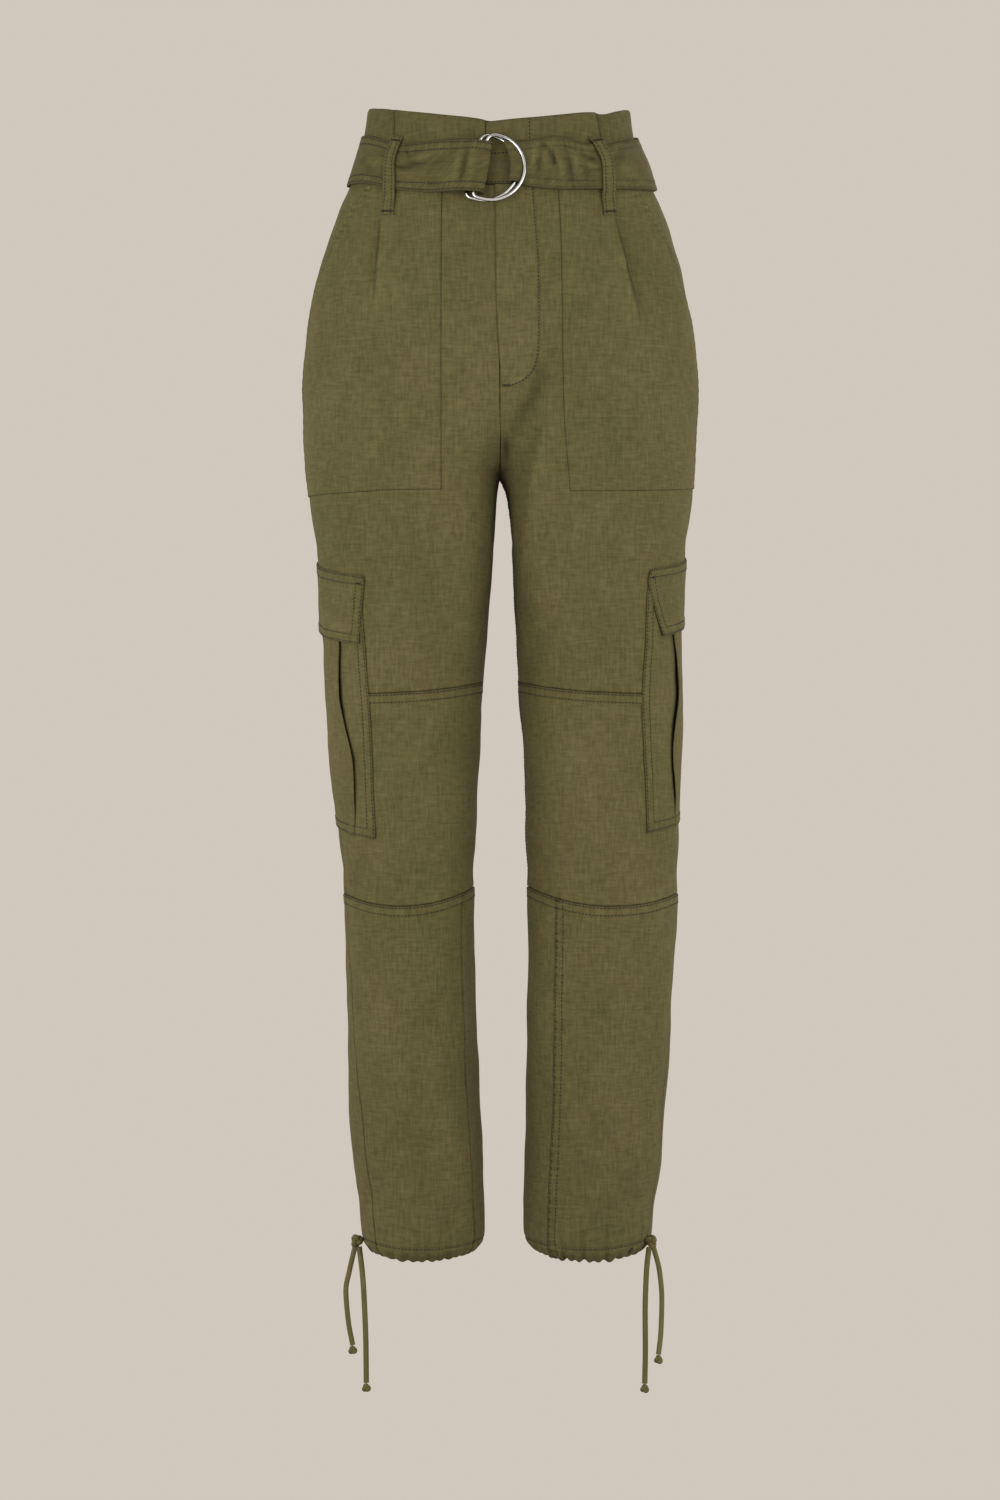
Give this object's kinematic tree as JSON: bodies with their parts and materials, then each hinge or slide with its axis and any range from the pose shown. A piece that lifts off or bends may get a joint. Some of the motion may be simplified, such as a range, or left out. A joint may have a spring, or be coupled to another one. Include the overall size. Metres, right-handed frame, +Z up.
{
  "type": "cargo trousers",
  "caption": "High-waisted cargo trousers with a paperbag edge, a self belt fastened through D-rings, patch and cargo pockets, knee panels and drawcord hems.",
  "frame": {"origin": "centre of the waist at the middle of the belt, where the wearer holds the trousers up", "axes": "+Z up along the body, -Y out of the front, +X to the wearer's left"},
  "size_m": [0.3596, 0.2511, 1.1673],
  "materials": {
    "cloth": "matt olive plain-weave cotton, garment washed",
    "cord": "matt olive cotton cord",
    "nickel": "polished nickel"
  },
  "bodies": {
    "root": {"back_left": "cloth", "back_right": "cloth", "belt": "cloth", "belt_loop_back": "cloth", "belt_loop_front_left": "cloth", "belt_loop_front_right": "cloth", "belt_loop_side_left": "cloth", "belt_loop_side_right": "cloth", "calf_left": "cloth", "calf_right": "cloth", "cargo_flap_left": "cloth", "cargo_flap_right": "cloth", "cargo_pocket_left": "cloth", "cargo_pocket_right": "cloth", "d_ring_back": "nickel", "d_ring_front": "nickel", "fly": "cloth", "front_left": "cloth", "front_right": "cloth", "knee_left": "cloth", "knee_right": "cloth", "patch_pocket_left": "cloth", "patch_pocket_right": "cloth", "shin_left": "cloth", "shin_right": "cloth", "tie_end_long_left": "cord", "tie_end_long_right": "cord", "tie_end_short_left": "cord", "tie_end_short_right": "cord", "tie_knot_left": "cord", "tie_knot_right": "cord", "tie_long_left": "cord", "tie_long_right": "cord", "tie_short_left": "cord", "tie_short_right": "cord", "waistband_back": "cloth", "waistband_left": "cloth", "waistband_right": "cloth"}
  },
  "joints": []
}
